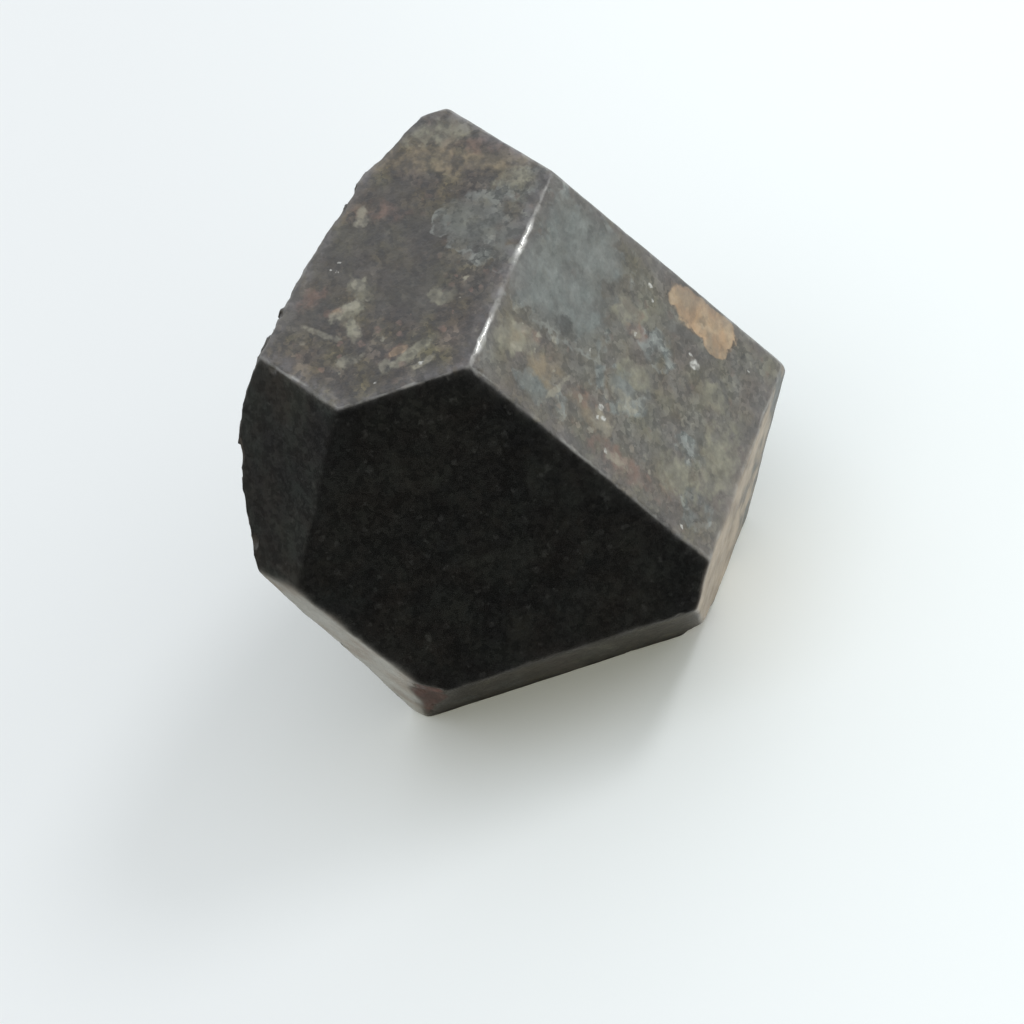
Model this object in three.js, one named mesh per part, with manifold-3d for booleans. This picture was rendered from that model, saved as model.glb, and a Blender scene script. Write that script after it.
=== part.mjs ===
// A loose uraninite crystal about 13 mm across: a cube and an octahedron grown together as one solid,
// broken off along its back left side. It rests on the octahedral face opposite its top.
// Millimetres, +Z up. The origin is the middle of the underside of the bounding box.
import * as THREE from "three";
import { mergeVertices } from "three/addons/utils/BufferGeometryUtils.js";
import Module from "manifold-3d";

// The face indices are cubic ones, and distance is from the middle of the crystal out to the face.
const crystalFaces = {
  top: { index: [1, 1, 1], distance: 4.64 },
  right: { index: [1, 0, 0], distance: 4.62 },
  front: { index: [1, -1, 1], distance: 5.14 },
  left: { index: [0, 0, 1], distance: 6.03 },
  frontLeft: { index: [-0.765, -1, 1], distance: 6.38 }, // grew a few degrees off the octahedral plane
  frontBase: { index: [0, -1, 0], distance: 6.56 },
  frontRight: { index: [1, -1, -1], distance: 6.76 },
  backRight: { index: [1, 1, -1], distance: 5.18 },
  back: { index: [-1, 1, -1], distance: 5.28 },
  crown: { index: [0, 1, 0], distance: 6.56 },
  under: { index: [0, 0, -1], distance: 6.27 },
  base: { index: [-1, -1, -1], distance: 5.17 },
};

// The broken side is four rough facets. Each faces the azimuth and rise given, in degrees.
const breakFacets = {
  upper: { azimuth: 146.8, rise: 20.4, distance: 4.05 },
  middle: { azimuth: 136.8, rise: 6, distance: 3.25 },
  lower: { azimuth: 155.5, rise: -17.2, distance: 2.86 },
  crest: { azimuth: 118.6, rise: 0, distance: 3.66 },
};

// Chips: flakes knocked off two corners, each cut square to a line from the middle of the crystal.
const chips = {
  frontToe: { towards: [-0.491, -0.771, -0.405], distance: 7.01 },
  rightToe: { towards: [0.47, -0.57, -0.67], distance: 7.5 },
};

const roughness = 0.12; // mm, how far the broken side stands in or out of its facets
const roughStep = 0.45; // mm, grid of the broken side
const cutterWidth = 20; // mm, wider than the crystal
const cutterDepth = 12; // mm

// The crystal's own axes turned so that its top face lies level and its front edge runs along X.
const frameX = new THREE.Vector3(1, 0, -1).normalize();
const frameY = new THREE.Vector3(-1, 2, -1).normalize();
const frameZ = new THREE.Vector3(1, 1, 1).normalize();

function faceDirection(index) {
  const normal = new THREE.Vector3(...index).normalize();
  return new THREE.Vector3(normal.dot(frameX), normal.dot(frameY), normal.dot(frameZ));
}

function breakDirection({ azimuth, rise }) {
  const polar = THREE.MathUtils.degToRad(90 - rise);
  const turn = THREE.MathUtils.degToRad(azimuth);
  return new THREE.Vector3(
    Math.sin(polar) * Math.cos(turn),
    Math.sin(polar) * Math.sin(turn),
    Math.cos(polar),
  );
}

// Uneven fracture: long swells crossed by shorter steps, from -1 to 1 over the broken side.
function swell(point) {
  const long = Math.sin(1.1 * point.x - 1.7 * point.z + 0.6) * Math.cos(1.3 * point.y + 0.9 * point.z);
  const short = Math.sin(2.9 * point.z + 1.8 * point.x - 1.2) * Math.sin(3.3 * point.y - 1.4 * point.z);
  return 0.65 * long + 0.35 * short;
}

// A block standing outside one plane. Its inner side lies on the plane, or is roughened along it.
function cutter(direction, distance, rough = 0) {
  const steps = rough > 0 ? Math.round(cutterWidth / roughStep) : 1;
  const block = new THREE.BoxGeometry(cutterWidth, cutterWidth, cutterDepth, steps, steps, 1);
  block.translate(0, 0, cutterDepth / 2);
  const innerSide = [];
  const position = block.attributes.position;
  for (let i = 0; i < position.count; i += 1) {
    innerSide.push(position.getZ(i) < cutterDepth / 2);
  }
  const turn = new THREE.Quaternion().setFromUnitVectors(new THREE.Vector3(0, 0, 1), direction);
  block.applyQuaternion(turn);
  block.translate(...direction.clone().multiplyScalar(distance).toArray());
  const point = new THREE.Vector3();
  for (let i = 0; i < position.count; i += 1) {
    point.fromBufferAttribute(position, i);
    const push = innerSide[i] ? rough * swell(point) : 0;
    point.addScaledVector(direction, push);
    position.setXYZ(i, point.x, point.y, point.z);
  }
  return block;
}

const wasm = await Module();
wasm.setup();

function toSolid(geometry) {
  const bare = geometry.clone();
  bare.deleteAttribute("normal");
  bare.deleteAttribute("uv");
  const merged = mergeVertices(bare, 1e-5);
  return new wasm.Manifold(
    new wasm.Mesh({
      numProp: 3,
      vertProperties: new Float32Array(merged.attributes.position.array),
      triVerts: new Uint32Array(merged.index.array),
    }),
  );
}

function toGeometry(solid) {
  const mesh = solid.getMesh();
  const geometry = new THREE.BufferGeometry();
  geometry.setAttribute("position", new THREE.BufferAttribute(mesh.vertProperties, 3));
  geometry.setIndex(new THREE.BufferAttribute(mesh.triVerts, 1));
  geometry.computeVertexNormals();
  return geometry;
}

// The crystal starts as a plain block and is cut back to each growth face, then broken and chipped.
function crystalSolid() {
  let solid = toSolid(new THREE.BoxGeometry(cutterWidth, cutterWidth, cutterWidth));
  for (const { index, distance } of Object.values(crystalFaces)) {
    solid = solid.subtract(toSolid(cutter(faceDirection(index), distance)));
  }
  for (const facet of Object.values(breakFacets)) {
    solid = solid.subtract(toSolid(cutter(breakDirection(facet), facet.distance, roughness)));
  }
  for (const { towards, distance } of Object.values(chips)) {
    solid = solid.subtract(toSolid(cutter(new THREE.Vector3(...towards).normalize(), distance)));
  }
  return solid;
}

const geometry = toGeometry(crystalSolid());
geometry.computeBoundingBox();
const { min, max } = geometry.boundingBox;
geometry.translate(-(min.x + max.x) / 2, -(min.y + max.y) / 2, -min.z);

const crystal = new THREE.Mesh(
  geometry,
  new THREE.MeshStandardMaterial({ color: 0x3a3835, roughness: 0.45, metalness: 0.35 }),
);
crystal.name = "crystal";

const specimen = new THREE.Group();
specimen.add(crystal);

export default specimen;
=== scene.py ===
import math
from functools import partial
from itertools import combinations

import bpy
import numpy as np
from mathutils import Matrix, Vector


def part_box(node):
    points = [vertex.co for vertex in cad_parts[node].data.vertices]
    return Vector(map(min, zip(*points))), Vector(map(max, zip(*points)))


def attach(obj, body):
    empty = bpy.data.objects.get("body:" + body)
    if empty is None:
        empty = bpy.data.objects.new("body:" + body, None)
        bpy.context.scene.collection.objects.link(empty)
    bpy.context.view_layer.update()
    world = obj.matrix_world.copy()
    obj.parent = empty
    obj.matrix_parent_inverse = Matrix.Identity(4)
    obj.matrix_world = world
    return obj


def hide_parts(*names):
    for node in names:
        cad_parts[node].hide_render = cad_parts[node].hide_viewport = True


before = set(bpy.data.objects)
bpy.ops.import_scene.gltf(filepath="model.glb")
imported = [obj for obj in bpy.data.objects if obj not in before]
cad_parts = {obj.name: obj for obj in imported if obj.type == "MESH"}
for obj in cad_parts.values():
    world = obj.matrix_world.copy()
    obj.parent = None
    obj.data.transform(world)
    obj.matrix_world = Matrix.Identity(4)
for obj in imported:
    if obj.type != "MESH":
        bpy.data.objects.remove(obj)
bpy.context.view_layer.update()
cadLow, cadHigh = (np.array(corner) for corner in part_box("crystal"))
mm = 0.001  # the shape is worked out in millimetres and put into the mesh in metres
print("frame loaded:", sorted(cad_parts))

# Growth faces: cubic index, distance out from the crystal's middle and mesh step, both in mm, and from
# 0 to 1 how thick the weathered skin is there, how blue-grey it is, how much coating lies over it, and
# how pale the face is under them.
growthColumns = ("index", "away", "step", "skin", "cool", "coat", "light")
growthTable = {
    "top": ((1, 1, 1), 4.64, 0.065, 1.0, 0.0, 0.0, 0.05),
    "right": ((1, 0, 0), 4.62, 0.065, 1.0, 0.28, 0.0, 1.0),
    "front": ((1, -1, 1), 5.14, 0.065, 0.04, 0.1, 0.0, 0.0),
    "left": ((0, 0, 1), 6.03, 0.075, 0.04, 0.3, 0.0, 0.9),
    "frontLeft": ((-0.765, -1, 1), 6.38, 0.075, 0.6, 0.2, 1.0, 0.3),
    "frontBase": ((0, -1, 0), 6.56, 0.075, 0.3, 0.0, 0.0, 0.4),
    "frontRight": ((1, -1, -1), 6.76, 0.075, 0.9, 0.1, 1.0, 0.3),
    "backRight": ((1, 1, -1), 5.18, 0.12, 0.9, 0.3, 0.15, 0.5),
    "back": ((-1, 1, -1), 5.28, 0.12, 0.7, 0.3, 0.1, 0.3),
    "crown": ((0, 1, 0), 6.56, 0.12, 0.9, 0.1, 0.2, 0.3),
    "under": ((0, 0, -1), 6.27, 0.12, 0.7, 0.2, 0.4, 0.2),
    "base": ((-1, -1, -1), 5.17, 0.2, 0.5, 0.2, 0.4, 0.1),
}
growthFaces = {name: dict(zip(growthColumns, row)) for name, row in growthTable.items()}

# The broken side is four rough facets: the azimuth and rise that each faces in degrees, and its distance
# in mm.
breakFacets = {
    "upperBreak": (146.8, 20.4, 4.05),
    "middleBreak": (136.8, 6.0, 3.25),
    "lowerBreak": (155.5, -17.2, 2.86),
    "crestBreak": (118.6, 0.0, 3.66),
}

# Flakes knocked off two corners: direction, distance, mesh step and the middle of the hollow, in mm.
cornerChips = {
    "frontToe": ((-0.491, -0.771, -0.405), 7.01, 0.06, (-2.85, -5.65, -3.15)),
    "rightToe": ((0.47, -0.57, -0.67), 7.5, 0.07, (3.5, -4.3, -5.0)),
}

crystalShape = {
    "edgeSharpness": 30.0,  # 1/mm, higher is a crisper edge
    "edgeUnevenness": 0.9,  # how much the sharpness wanders along an edge, in doublings
    "edgeWander": 0.7,  # mm
    "wave": 0.005,  # mm, slow unevenness of the growth faces
    "waveSize": 2.2,  # mm
    "grain": 0.0025,  # mm, fine unevenness of the growth faces
    "grainSize": 0.35,  # mm
    "coatLumps": 0.012,  # mm, lumps of the coating
    "lumpSize": 0.6,  # mm
    "pitDepth": 0.02,  # mm
    "pitShare": 0.12,  # part of the cells that hold a pit
    "pitSpacing": 0.6,  # mm
    "pitRadius": (0.12, 0.2),  # least, and how much more at most, in spacings
    "breakStep": 0.069,  # mm, mesh step of the broken side
    "breakRounding": 3.5,  # 1/mm, how softly the facets of the broken side run into each other
    "breakSwell": 0.09,  # mm, the long swells of the broken side
    "breakCups": 0.11,  # mm, depth of the shell-shaped hollows
    "cupSize": (1.5, 1.5, 1.1),  # mm
    "warpSize": 1.5,  # mm, of the noise that bends the hollows
    "warp": (0.35, 0.4),  # how far it bends cups and chatter, in parts of their size
    "breakChatter": 0.024,  # mm, the small hollows over them
    "chatterSize": 0.32,  # mm
    "dustyFrom": (0.06, -0.10),  # mm, the relief where dust starts and where it is full
    "breakRipple": 0.006,  # mm
    "rippleRate": 16,  # radians per size of a cup
    "chipHollow": 0.14,  # mm
    "chipReach": 0.75,  # mm from the middle of a chip to where its hollow ends
    "nickCount": 150,
    "nickRadius": (0.08, 0.38),  # mm
    "nickDepth": (0.012, 0.06),  # mm
    "nickLean": 0.35,  # how unevenly nicks face
    "nickShown": 0.04,  # mm, from here on a nick looks fresh
    "seed": 7,
}


def unit(vector):
    vector = np.asarray(vector, float)
    return vector / np.linalg.norm(vector)


# The crystal's own axes turned so that its top face lies level and its front edge runs along X.
frameAxes = np.array([unit((1, 0, -1)), unit((-1, 2, -1)), unit((1, 1, 1))])


# The direction at an azimuth from +X towards +Y and a rise, in degrees.
def direction(azimuth, rise):
    azimuth, rise = math.radians(azimuth), math.radians(rise)
    return np.array([math.cos(rise) * math.cos(azimuth), math.cos(rise) * math.sin(azimuth), math.sin(rise)])


# A whole number cell and a seed stirred into one value from -1 to 1.
def randomAt(cell, seed):
    mixed = cell @ np.array([73856093, 19349663, 83492791]) + seed * 2654435761
    mixed = (mixed ^ (mixed >> 13)) * 1274126177
    mixed = (mixed ^ (mixed >> 16)) * 73244475
    mixed = mixed ^ (mixed >> 15)
    return (mixed & 0xFFFFFF) / 0x7FFFFF - 1


# Smooth noise: random values at the eight corners of each cell, blended by 3t^2 - 2t^3.
def smoothNoise(points, seed):
    cell = np.floor(points).astype(np.int64)
    part = points - cell
    fade = part * part * (3 - 2 * part)
    total = np.zeros(len(points))
    for corner in np.ndindex(2, 2, 2):
        share = np.where(np.array(corner) == 1, fade, 1 - fade).prod(axis=1)
        total += share * randomAt(cell + np.array(corner), seed)
    return total


# Layers of smooth noise: the sum of noise(2^i p) / 2^i.
def layeredNoise(points, seed, layers=4):
    total = np.zeros(len(points))
    for layer in range(layers):
        total += smoothNoise(points * 2.0**layer + 17.3 * layer, seed + layer) / 2.0**layer
    return total


# Distance to the nearest of one wandering seed point per cell, and that seed's number from -1 to 1.
def nearestSeed(points, seed):
    cell = np.floor(points).astype(np.int64)
    nearest = np.full(len(points), 9.0)
    number = np.zeros(len(points))
    for step in np.ndindex(3, 3, 3):
        neighbour = cell + np.array(step) - 1
        wander = np.stack([randomAt(neighbour, seed + axis) for axis in range(3)], axis=1)
        distance = np.linalg.norm(points - (neighbour + 0.5 + 0.42 * wander), axis=1)
        closer = distance < nearest
        nearest = np.where(closer, distance, nearest)
        number = np.where(closer, randomAt(neighbour, seed + 3), number)
    return nearest, number


# Uneven fracture: long swells crossed by shorter steps, from -1 to 1 over the broken side.
def swell(p):
    x, y, z = p.T
    long = np.sin(1.1 * x - 1.7 * z + 0.6) * np.cos(1.3 * y + 0.9 * z)
    short = np.sin(2.9 * z + 1.8 * x - 1.2) * np.sin(3.3 * y - 1.4 * z)
    return 0.65 * long + 0.35 * short


def smoothStep(low, high, value):
    t = np.clip((value - low) / (high - low), 0, 1)
    return t * t * (3 - 2 * t)


# The crystal's middle, set in from the box's high X, low Y and low Z sides, where growth faces end.
middleIn = np.array([-7.31, 6.31, 5.17]) * mm
crystalMiddle = np.array([cadHigh[0], cadLow[1], cadLow[2]]) + middleIn


# Every flat side as one list: names, outward directions, distances, mesh steps and kinds.
def crystalPlanes():
    planes = []
    for name, face in growthFaces.items():
        planes.append((name, frameAxes @ unit(face["index"]), face["away"], face["step"], "growth"))
    for name, (azimuth, rise, away) in breakFacets.items():
        planes.append((name, direction(azimuth, rise), away, crystalShape["breakStep"], "break"))
    for name, (towards, away, step, _) in cornerChips.items():
        planes.append((name, unit(towards), away, step, "chip"))
    names, normals, away, steps, kinds = zip(*planes)
    return list(names), np.array(normals), np.array(away), np.array(steps), np.array(kinds)


# Corners are where three planes meet inside all the others; a loop runs round each face.
def cornersAndLoops(normals, away):
    triples = np.array(list(combinations(range(len(normals)), 3)))
    triples = triples[np.abs(np.linalg.det(normals[triples])) > 1e-3]
    corners = np.linalg.solve(normals[triples], away[triples][..., None])[..., 0]
    inside = (corners @ normals.T <= away + 1e-7).all(axis=1)
    triples, corners = triples[inside], corners[inside]
    loops = []
    for face, normal in enumerate(normals):
        own = np.flatnonzero((triples == face).any(axis=1))
        spoke = corners[own] - corners[own].mean(axis=0)
        across = unit(spoke[0])
        turn = np.arctan2(spoke @ np.cross(normal, across), spoke @ across)
        loops.append(own[np.argsort(turn)])
    return corners, loops


# The edges round a face, each with its lower numbered corner first.
def loopEdges(loop):
    return [tuple(sorted(edge)) for edge in zip(loop, np.roll(loop, -1))]


# Evenly spaced points round a face. Each edge is divided from its lower numbered corner, so the two
# faces that share it get the same points.
def facePerimeter(corners, loop, edgeSteps):
    sides = []
    for start, (low, high) in zip(loop, loopEdges(loop)):
        length = np.linalg.norm(corners[high] - corners[low])
        count = max(1, math.ceil(length / edgeSteps[low, high]))
        share = np.arange(count + 1)[:, None] / count
        line = corners[low] + share * (corners[high] - corners[low])
        sides.append((line if start == low else line[::-1])[:-1])
    return np.concatenate(sides)


# Triangles between two rings of different numbers of points. Each edge of either ring makes one with the
# point of the other ring that lies across from the edge's middle.
def ringStrip(innerFirst, innerCount, outerFirst, outerCount):
    inner, outer = np.arange(innerCount), np.arange(outerCount)
    innerMiddles, outerMiddles = (inner + 0.5) / innerCount, (outer + 0.5) / outerCount
    facing = innerFirst + np.searchsorted(innerMiddles, outerMiddles, side="left") % innerCount
    outward = np.stack([facing, outerFirst + outer, outerFirst + np.roll(outer, -1)], axis=-1)
    facing = outerFirst + np.searchsorted(outerMiddles, innerMiddles, side="right") % outerCount
    inward = np.stack([innerFirst + inner, facing, innerFirst + np.roll(inner, -1)], axis=-1)
    return np.concatenate([outward, inward])


# One face as rings round its middle: point = middle + reach * (perimeter(turn) - middle), with
# reach = 1 - (1 - u)^1.3, so the rings close up towards the edges. A smaller ring holds fewer points.
def facePatch(perimeter, step):
    middle, around = perimeter.mean(axis=0), len(perimeter)
    rings = max(8, int(np.linalg.norm(perimeter - middle, axis=1).mean() / (step * 1.15)))
    reach = 1 - (1 - np.arange(1, rings + 1) / rings) ** 1.3
    counts = np.maximum(6, np.rint(around * reach)).astype(int)
    closed = np.concatenate([perimeter, perimeter[:1]])
    points = [middle[None]]
    for share, count in zip(reach[:-1], counts[:-1]):
        turn = np.arange(count) * around / count
        start = turn.astype(int)
        part = (turn - start)[:, None]
        line = (1 - part) * closed[start] + part * closed[start + 1]
        points.append(middle + share * (line - middle))
    points.append(perimeter)
    counts[-1] = around
    firsts = 1 + np.concatenate([[0], np.cumsum(counts[:-1])])
    fan = np.arange(counts[0])
    triangles = [np.stack([np.zeros(counts[0], int), 1 + fan, 1 + np.roll(fan, -1)], axis=-1)]
    for ring in range(rings - 1):
        triangles.append(ringStrip(firsts[ring], counts[ring], firsts[ring + 1], counts[ring + 1]))
    return np.concatenate(points), np.concatenate(triangles)


# The whole sharp-edged shell, with the outer rings of neighbouring faces merged where they meet.
def sharpShell(normals, away, steps):
    corners, loops = cornersAndLoops(normals, away)
    edgeSteps = {}
    for loop, step in zip(loops, steps):
        for edge in loopEdges(loop):
            edgeSteps[edge] = min(step, edgeSteps.get(edge, step))
    points, triangles, count = [], [], 0
    for loop, step in zip(loops, steps):
        patch, patchTriangles = facePatch(facePerimeter(corners, loop, edgeSteps), step)
        points.append(patch)
        triangles.append(patchTriangles + count)
        count += len(patch)
    merged, inverse = np.unique(np.round(np.concatenate(points), 6) + 0.0, axis=0, return_inverse=True)
    return merged, inverse.reshape(-1)[np.concatenate(triangles)], corners, loops


# How far each kind of side stands out of its plane, in mm. A growth face is wave + grain - pits, with its
# coating's lumps on top. The broken side is swell + cups + chatter + ripple. A chip is depth *
# ((distance / reach)^2 - 1) out to its reach, and chatter.
def sideRelief(points, kinds):
    shape, seed = crystalShape, crystalShape["seed"]

    def noise(size, number, layers=4):
        return layeredNoise(points / shape[size], seed + number, layers)

    wave = shape["wave"] * (noise("waveSize", 0) - 1.6)
    grain = shape["grain"] * (noise("grainSize", 10, 2) - 1.5)
    pitDistance, pitNumber = nearestSeed(points / shape["pitSpacing"], seed + 20)
    holdsPit = pitNumber > 1 - 2 * shape["pitShare"]
    pitReach = shape["pitRadius"][0] + shape["pitRadius"][1] * (pitNumber * 7.3 % 1)
    pits = shape["pitDepth"] * holdsPit * smoothStep(pitReach, 0, pitDistance)
    warp = np.stack([noise("warpSize", 30 + axis, 3) for axis in range(3)], axis=1)
    cupDistance, cupNumber = nearestSeed(points / shape["cupSize"] + shape["warp"][0] * warp, seed + 40)
    cups = shape["breakCups"] * (cupDistance**2 * 1.6 + 0.2 + 0.35 * cupNumber)
    chatterPlace = points / shape["chatterSize"] + shape["warp"][1] * warp
    chatterDistance, chatterNumber = nearestSeed(chatterPlace, seed + 50)
    chatter = shape["breakChatter"] * (chatterDistance**2 * 1.6 - 0.3 + 0.5 * chatterNumber)
    ripple = shape["breakRipple"] * np.sin(shape["rippleRate"] * cupDistance + 5 * warp[:, 0])
    broken = shape["breakSwell"] * swell(points) + cups + chatter + ripple
    lumps = shape["coatLumps"] * (noise("lumpSize", 70, 2) - 0.4)
    coats = np.array([face["coat"] for face in growthFaces.values()])
    relief = np.zeros((len(points), len(kinds)))
    relief[:, kinds == "growth"] = (wave + grain - pits)[:, None] + lumps[:, None] * coats
    relief[:, kinds == "break"] = broken[:, None]
    for side, (*_, hollowAt) in zip(np.flatnonzero(kinds == "chip"), cornerChips.values()):
        spread = np.linalg.norm(points - hollowAt, axis=1) / shape["chipReach"]
        relief[:, side] = shape["chipHollow"] * (np.minimum(spread, 1) ** 2 - 1) + 0.6 * chatter
    return relief


# The soft maximum M(k, d) = log(sum of exp(k d)) / k and each side's share in it.
def softMaximum(depths, sharpness):
    power = sharpness[:, None] * depths
    top = power.max(axis=1)
    parts = np.exp(power - top[:, None])
    total = parts.sum(axis=1)
    return (top + np.log(total)) / sharpness, parts / total[:, None]


# Moves each point along its line from the middle onto F = 0, where every depth is n.x - away - relief and
# F = M(edge sharpness, growth and chip depths with M(break rounding, break depths)).
def roundedReach(rays, reach, normals, limits, kinds, sharpness):
    slope = rays @ normals.T
    broken = kinds == "break"
    softly = np.full(len(rays), crystalShape["breakRounding"])
    for _ in range(10):
        depths = slope * reach[:, None] - limits
        breakDepth, breakShares = softMaximum(depths[:, broken], softly)
        outer = np.concatenate([depths[:, ~broken], breakDepth[:, None]], axis=1)
        depth, outerShares = softMaximum(outer, sharpness)
        shares = np.zeros_like(depths)
        shares[:, ~broken] = outerShares[:, :-1]
        shares[:, broken] = outerShares[:, -1:] * breakShares
        reach = reach - depth / (shares * slope).sum(axis=1)
    return reach, shares


# Small flakes knocked off the edges: each is a ball that bites in, and a point steps back along its line
# from the middle to where the line enters the ball.
def biteNicks(rays, reach, corners, loops):
    shape, count = crystalShape, crystalShape["nickCount"]
    chance = np.random.default_rng(shape["seed"])
    edges = np.array(sorted({edge for loop in loops for edge in loopEdges(loop)}))
    starts, ends = corners[edges[:, 0]], corners[edges[:, 1]]
    lengths = np.linalg.norm(ends - starts, axis=1)
    picks = chance.choice(len(edges), count, p=lengths / lengths.sum())
    along = chance.random(count)[:, None]
    spots = starts[picks] + along * (ends[picks] - starts[picks])
    radii = shape["nickRadius"][0] + np.ptp(shape["nickRadius"]) * chance.random(count) ** 2.5
    depths = shape["nickDepth"][0] + np.ptp(shape["nickDepth"]) * chance.random(count) ** 2
    leans = shape["nickLean"] * chance.normal(size=(count, 3))
    bitten = reach.copy()
    for spot, radius, depth, lean in zip(spots, radii, depths, leans):
        ball = spot + unit(unit(spot) + lean) * (radius - depth)
        lead = rays @ ball
        spare = radius**2 - (ball @ ball - lead**2)
        entry = lead - np.sqrt(np.maximum(spare, 0))
        bitten = np.where((spare > 0) & (lead > 0), np.minimum(bitten, entry), bitten)
    return bitten


print("crystal shape helpers ready")

# Marks on the top and right faces. Each is an oval: across and along from the corner where top, right
# and front meet, half length, half width, in mm, and its turn in degrees if it is turned. On the top face
# across is +X and along is +Y; on the right face across runs down the front edge and along runs up the
# top edge.
topMarks = {
    "film": [(0.5, 4.75, 0.45, 0.5), (0.8, 4.2, 0.55, 0.5), (1.15, 3.6, 0.55, 0.45, 40),
             (1.5, 3.0, 0.45, 0.35, 60), (1.7, 4.3, 0.9, 0.75, 60), (1.15, 5.0, 0.8, 0.5),
             (2.3, 5.2, 0.7, 0.45, 20)],
    "blue": [(0.9, 4.5, 0.9, 0.9), (1.7, 3.6, 0.7, 0.5, 60)],
    "rim": [(0.2, 4.4, 0.4, 1.1), (0.9, 3.2, 0.4, 0.9, 40)],
    "rust": [(-1.45, 1.2, 0.26, 0.12, 15), (-2.55, 3.05, 0.14, 0.1)],
    "ochre": [(0.4, 7.0, 1.4, 0.4, -25), (1.5, 6.45, 0.9, 0.3, -25), (2.3, 6.2, 0.5, 0.3, -35)],
    "olive": [(-1.9, 3.55, 0.24, 0.4, 10), (-2.3, 2.95, 0.42, 0.24, 20), (-2.3, 2.3, 0.17, 0.42),
              (-1.2, 1.0, 0.6, 0.16, 25), (-0.2, 2.5, 0.3, 0.25), (2.2, 5.5, 0.5, 0.3),
              (0.8, 7.8, 0.9, 0.4, -20)],
    "redBrown": [(1.8, 6.85, 0.8, 0.25, -30), (-1.0, 5.85, 0.55, 0.25, -30), (-1.5, 1.2, 0.3, 0.14, 15),
                 (-2.6, 3.05, 0.2, 0.15), (-3.0, 3.7, 0.3, 0.35)],
    "smooth": [(-0.4, 4.5, 0.7, 1.1), (-1.5, 5.2, 0.8, 0.35, -20), (-0.8, 3.2, 0.9, 1.2, -20),
               (-0.6, 6.3, 0.6, 0.35, -30), (-2.2, 4.5, 0.7, 0.9), (-3.0, 3.3, 0.6, 0.6)],
    "speckle": [(-2.0, 1.6, 1.4, 0.8), (0.1, 2.0, 0.6, 1.1, -20), (-2.4, 3.0, 0.6, 0.8)],
    "pale": [(-2.6, 1.4, 0.3, 0.14, 10), (-1.8, 0.9, 0.2, 0.14), (-3.0, 2.5, 0.55, 0.08, -45),
             (-1.4, 5.8, 0.15, 0.3, -20), (-1.9, 3.7, 0.14, 0.22), (-2.2, 3.1, 0.2, 0.14, 20),
             (-2.6, 2.9, 0.14, 0.12), (-2.2, 2.3, 0.1, 0.25), (-1.0, 0.6, 0.25, 0.1, 20)],
    # polish and paleEdgeAndSheen: parts of the edges painted pale, partly as wear and partly as painted
    # highlight
    "polishAndHighlight": [(0.5, 0.8, 1.05, 0.4, 60), (2.0, 3.4, 0.85, 0.4, 60)],
    "paleEdgeAndSheen": [(-2.9, 0.1, 0.8, 0.5), (-1.6, 0.0, 1.3, 0.4), (-3.9, 1.4, 1.1, 0.5, 120)],
}
rightMarks = {
    "film": [(1.2, 3.7, 1.5, 1.35), (1.3, 5.0, 1.4, 1.1), (0.4, 3.0, 0.7, 0.7), (2.2, 3.05, 0.7, 0.75),
             (1.9, 0.75, 0.8, 0.4), (3.7, 2.3, 0.8, 0.6, 20), (4.1, 3.9, 0.6, 0.5), (6.6, 0.9, 0.5, 0.5),
             (5.9, 2.2, 0.5, 0.4)],
    "blue": [(1.2, 3.5, 1.9, 1.5), (1.4, 5.0, 1.5, 1.1), (1.6, 0.8, 0.6, 0.4), (3.7, 2.4, 0.5, 0.4)],
    "rim": [(0.5, 2.3, 0.7, 0.4, 10), (1.7, 2.4, 0.9, 0.4), (2.6, 2.6, 0.5, 0.4, 30),
            (2.3, 1.0, 0.3, 0.5)],
    "rust": [(4.55, 5.6, 0.62, 0.5, -10), (5.35, 5.55, 0.65, 0.62, -30), (5.6, 5.1, 0.3, 0.25),
             (5.0, 5.4, 0.6, 0.4)],
    "ochre": [(0.75, 1.6, 0.45, 0.3, 40), (1.6, 1.3, 0.4, 0.3), (2.8, 1.3, 0.35, 0.22),
              (3.4, 1.1, 0.4, 0.25)],
    "olive": [(0.8, 1.55, 0.6, 0.4, 30), (6.7, 2.4, 0.5, 1.2), (5.8, 1.4, 0.5, 0.5), (6.0, 3.9, 0.4, 0.3),
              (3.2, 4.3, 0.5, 0.3, 20), (3.9, 2.9, 0.5, 0.3)],
    "redBrown": [(2.8, 1.4, 0.3, 0.18), (1.1, 1.9, 0.3, 0.15), (4.4, 0.6, 1.1, 0.28), (3.6, 4.0, 0.3, 0.2),
                 (3.2, 4.4, 0.25, 0.12)],
    "smooth": [(1.3, 3.6, 1.5, 1.2), (4.6, 4.85, 0.5, 0.15, 20), (1.3, 5.0, 1.4, 1.0)],
    "speckle": [(0.9, 1.5, 1.0, 0.6, 20), (4.2, 0.7, 1.8, 0.5), (3.4, 1.3, 0.8, 0.5)],
    "pale": [(2.2, 1.1, 0.07, 0.45, -20), (0.8, 1.9, 0.2, 0.12, 30), (0.9, 1.3, 0.15, 0.1),
             (3.55, 1.2, 0.3, 0.25), (3.9, 2.1, 0.3, 0.25), (3.5, 3.9, 0.12, 0.1), (4.2, 0.6, 0.35, 0.12)],
    # polish and paleEdgeAndSheen: parts of the edges painted pale, partly as wear and partly as painted
    # highlight
    "polishAndHighlight": [(0.0, 0.9, 0.4, 1.05), (0.0, 4.0, 0.4, 0.85)],
    "paleEdgeAndSheen": [(0.4, 0.0, 0.8, 0.4), (7.4, 4.6, 0.5, 1.2)],
}

# How much of each mark lies on the other faces, where noise places it.
wildMarks = {"film": 0.35, "ochre": 0.3, "olive": 0.35, "redBrown": 0.25, "smooth": 0.5, "speckle": 0.55}
wildSize = 1.3  # mm
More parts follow.
